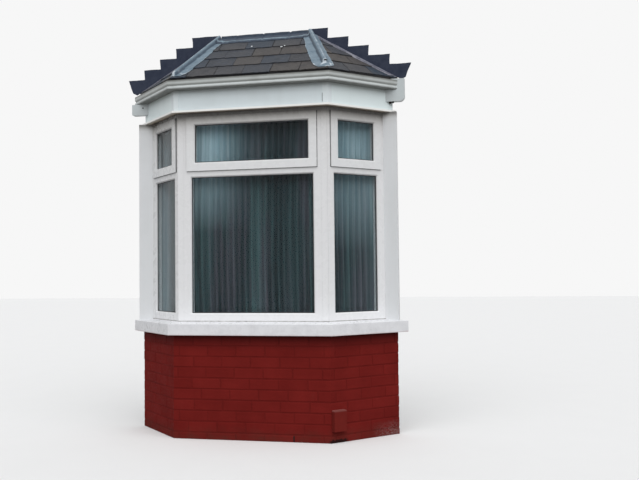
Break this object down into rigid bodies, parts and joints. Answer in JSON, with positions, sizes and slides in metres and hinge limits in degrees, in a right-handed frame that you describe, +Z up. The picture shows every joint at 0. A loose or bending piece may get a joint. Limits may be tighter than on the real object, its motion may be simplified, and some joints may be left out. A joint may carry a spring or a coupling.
{
  "type": "canted bay window",
  "caption": "Canted bay window with a painted brick dwarf wall, thick sill, white windows with top lights, ogee gutter and a hipped slate roof with lead hips.",
  "frame": {"origin": "on the ground, under the middle of the whole plan", "axes": "+Z up, +Y towards the house wall, +X to the right as seen from the street"},
  "size_m": [2.192, 0.463, 2.952],
  "materials": {
    "painted_brick": "weathered dark red masonry paint",
    "painted_sill": "white gloss masonry paint",
    "painted_board": "white satin paint",
    "concrete": "plain floated concrete",
    "white_plastic": "white, slightly glossy",
    "glass": "clear sealed panes",
    "eaves_board": "white board, dulled by weather",
    "gutter": "pale grey, streaked",
    "timber": "sawn softwood",
    "plasterboard": "matt white",
    "slate": "natural slate, grey with brown and blue",
    "lead_bright": "pale dressed lead",
    "lead_dark": "dark lead",
    "net": "gathered net curtain",
    "box_paint": "painted with the wall"
  },
  "bodies": {
    "root": {"dwarf_wall": "painted_brick", "sill": "painted_sill", "window_board": "painted_board", "floor": "concrete", "frame_left": "white_plastic", "frame_front": "white_plastic", "frame_right": "white_plastic", "top_sash_left": "white_plastic", "top_sash_front": "white_plastic", "top_sash_right": "white_plastic", "glass_left": "glass", "glass_front": "glass", "glass_right": "glass", "glazing_beads": "white_plastic", "corner_post_left": "white_plastic", "corner_post_right": "white_plastic", "jamb_left": "eaves_board", "jamb_right": "eaves_board", "soffit_board": "eaves_board", "fascia_left": "eaves_board", "fascia_front": "eaves_board", "fascia_right": "eaves_board", "fascia_corners": "eaves_board", "gutter_left": "gutter", "gutter_front": "gutter", "gutter_right": "gutter", "eaves_block_left": "eaves_board", "eaves_block_right": "eaves_board", "head_plate": "timber", "ceiling": "plasterboard", "rafters": "timber", "roof_boards": "timber", "slates_left": "slate", "slates_front": "slate", "slates_right": "slate", "hip_lead_left": "lead_bright", "hip_lead_right": "lead_bright", "apron_flashing": "lead_dark", "stepped_flashing_left": "lead_dark", "stepped_flashing_right": "lead_dark", "curtain_track": "white_plastic", "net_left": "net", "net_front": "net", "net_right": "net", "wall_box": "box_paint"}
  },
  "joints": []
}
